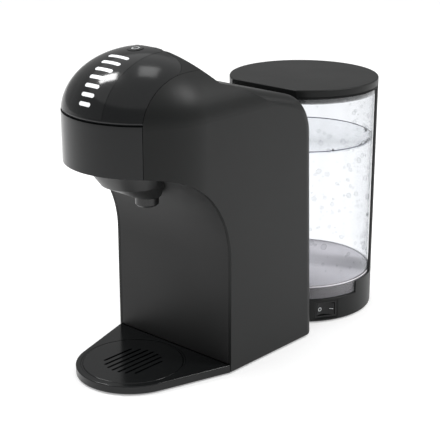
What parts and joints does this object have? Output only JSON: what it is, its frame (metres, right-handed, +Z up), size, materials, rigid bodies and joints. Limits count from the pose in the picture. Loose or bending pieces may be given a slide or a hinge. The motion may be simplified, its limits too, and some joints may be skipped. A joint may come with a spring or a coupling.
{
  "type": "pod coffee machine",
  "caption": "Compact capsule coffee machine with a domed hinged hood, cup bay and drip tray, and a clear lift-off water tank behind.",
  "frame": {"origin": "middle of the footprint, on the surface the machine stands on", "axes": "+Z up, -Y is the front with the cup tray, +X is the side with the power switch"},
  "size_m": [0.1326, 0.3312, 0.2656],
  "materials": {
    "case_satin": "satin moulded, dark charcoal",
    "case_gloss": "polished black",
    "strip_gloss": "smoked gloss",
    "lens_white": "translucent white",
    "lining_black": "fine texture",
    "clear_tank": "clear moulded",
    "inner_plastic": "natural moulded",
    "brew_black": "smooth moulded",
    "steel": "bright",
    "cast_aluminium": "as cast",
    "circuit_green": "coated board",
    "rubber_black": "matt",
    "silicone": "translucent white"
  },
  "bodies": {
    "hood": {"hood": "case_gloss", "control_strip": "strip_gloss", "level_lenses": "lens_white", "button_spring": "steel", "display_board": "circuit_green", "hood_liner": "brew_black", "piercing_plate": "brew_black", "piercing_needle": "steel", "brew_seal": "silicone"},
    "start_button": {"start_button": "strip_gloss"},
    "power_rocker": {"power_rocker": "case_gloss"},
    "tank": {"tank_shell": "clear_tank", "tank_frame": "case_gloss", "valve_body": "inner_plastic", "valve_plunger": "inner_plastic", "valve_spring": "steel"},
    "tank_lid": {"tank_lid": "case_satin", "lid_seal": "silicone"},
    "drip_pan": {"drip_pan": "case_gloss"},
    "cup_plate": {"cup_plate": "case_gloss"},
    "root": {"right_side_panel": "case_satin", "left_side_panel": "case_satin", "spine_cover": "case_satin", "bay_lining": "lining_black", "head_front": "case_gloss", "hinge_pin": "steel", "brew_deck": "brew_black", "water_port": "silicone", "brew_chamber": "brew_black", "capsule_holder": "brew_black", "outlet_funnel": "brew_black", "brew_nozzle": "brew_black", "base_plate": "case_satin", "tray_base": "case_gloss", "feet": "rubber_black", "base_screws": "steel", "inner_frame": "inner_plastic", "pump": "inner_plastic", "pump_mounts": "rubber_black", "thermoblock": "cast_aluminium", "heater_brackets": "steel", "flow_meter": "inner_plastic", "control_board": "circuit_green", "board_brackets": "inner_plastic", "suction_hose": "silicone", "pressure_hose": "silicone", "brew_hose": "silicone", "tank_dock": "case_satin", "switch_bezel": "case_gloss", "mains_gland": "rubber_black", "socket_seal": "rubber_black"}
  },
  "joints": [
    {"name": "hood_hinge", "type": "hinge", "parent": "root", "child": "hood", "pos_m": [0, -0.09415, 0.2624], "axis": [-1, 0, 0], "range_deg": [0, 75]},
    {"name": "start_press", "type": "slide", "parent": "hood", "child": "start_button", "axis": [0, 0, -1], "range_m": [0, 0.0012], "stiffness_N_per_m": 600, "springref_m": -0.001, "deforming": ["button_spring"]},
    {"name": "power_rock", "type": "hinge", "parent": "root", "child": "power_rocker", "pos_m": [0.05343, 0.0685, 0.0116], "axis": [0, 0, 1], "range_deg": [0, 12]},
    {"name": "tank_lift", "type": "slide", "parent": "root", "child": "tank", "axis": [0, 0, 1], "range_m": [0, 0.06]},
    {"name": "lid_lift", "type": "slide", "parent": "tank", "child": "tank_lid", "axis": [0, 0, 1], "range_m": [0, 0.04]},
    {"name": "pan_lift", "type": "slide", "parent": "root", "child": "drip_pan", "axis": [0, 0, 1], "range_m": [0, 0.03]},
    {"name": "plate_lift", "type": "slide", "parent": "drip_pan", "child": "cup_plate", "axis": [0, 0, 1], "range_m": [0, 0.03]}
  ]
}
